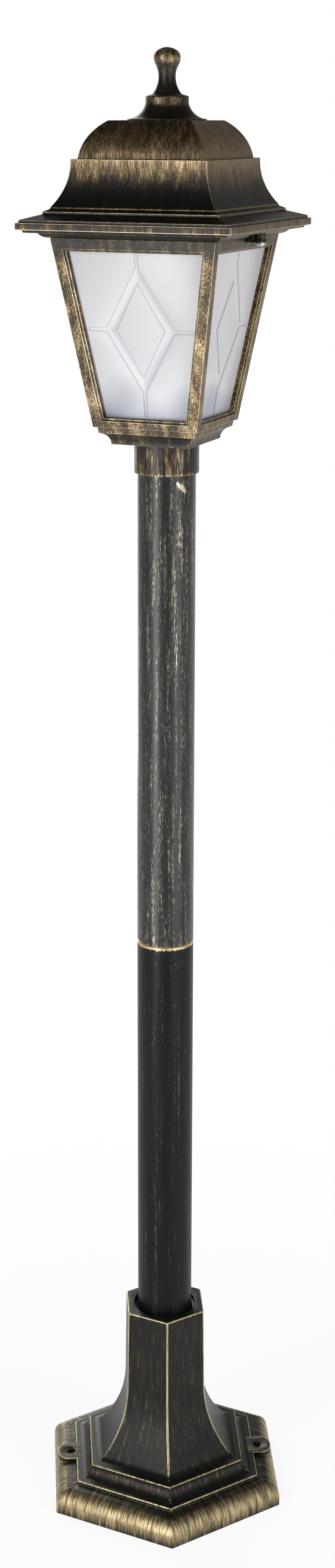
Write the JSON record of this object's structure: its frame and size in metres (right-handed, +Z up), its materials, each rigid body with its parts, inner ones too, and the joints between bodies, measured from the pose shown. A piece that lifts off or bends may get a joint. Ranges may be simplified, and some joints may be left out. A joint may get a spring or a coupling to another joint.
{
  "type": "garden lamp",
  "caption": "Garden post lamp with a tapered square lantern of frosted panes, moulded roof and finial, round jointed pole and flared hexagonal base, in black and antique gold.",
  "frame": {"origin": "middle of the base's foot, on the ground", "axes": "+Z up the pole; the lantern's faces look along X and Y, its front along -Y; the base is turned on the pole as in the picture"},
  "size_m": [0.1844, 0.1654, 0.9957],
  "materials": {
    "antique_base": "black paint, dry-brushed antique gold, worn on the edges",
    "antique_lower_pole": "blue-black paint with sparse gold streaks",
    "antique_upper_pole": "charcoal paint with upright gold streaks",
    "antique_lantern": "black paint, heavily stippled with antique gold",
    "antique_roof": "black paint, gold brushed over the curves",
    "frosted_pane": "frosted, with a sunk diamond band",
    "plain_aluminium": "mill finish",
    "blackened_steel": "blackened",
    "zinc_steel": "bright zinc plate",
    "white_porcelain": "glazed",
    "brass": "plain",
    "opal_bulb": "opal",
    "lead_sheath": "matt sheath",
    "black_rubber": "matt",
    "white_plastic": "plain"
  },
  "bodies": {
    "root": {"base": "antique_base", "lower_tube": "antique_lower_pole", "upper_tube": "antique_upper_pole", "lantern_collar": "antique_upper_pole", "lantern_frame": "antique_lantern", "roof": "antique_roof", "finial": "antique_roof", "pane_front": "frosted_pane", "pane_right": "frosted_pane", "pane_back": "frosted_pane", "pane_left": "frosted_pane", "pane_strips": "plain_aluminium", "joint_sleeve": "plain_aluminium", "joint_screw": "blackened_steel", "collar_screw": "blackened_steel", "pole_grub_screw": "blackened_steel", "roof_screws": "zinc_steel", "finial_screw": "zinc_steel", "finial_washer": "zinc_steel", "nipple": "zinc_steel", "nipple_nuts": "zinc_steel", "lampholder_body": "white_porcelain", "lampholder_shell": "brass", "lampholder_contact": "brass", "bulb": "opal_bulb", "inner_lead": "lead_sheath", "cable_grommet": "black_rubber", "terminal_block": "white_plastic"}
  },
  "joints": []
}
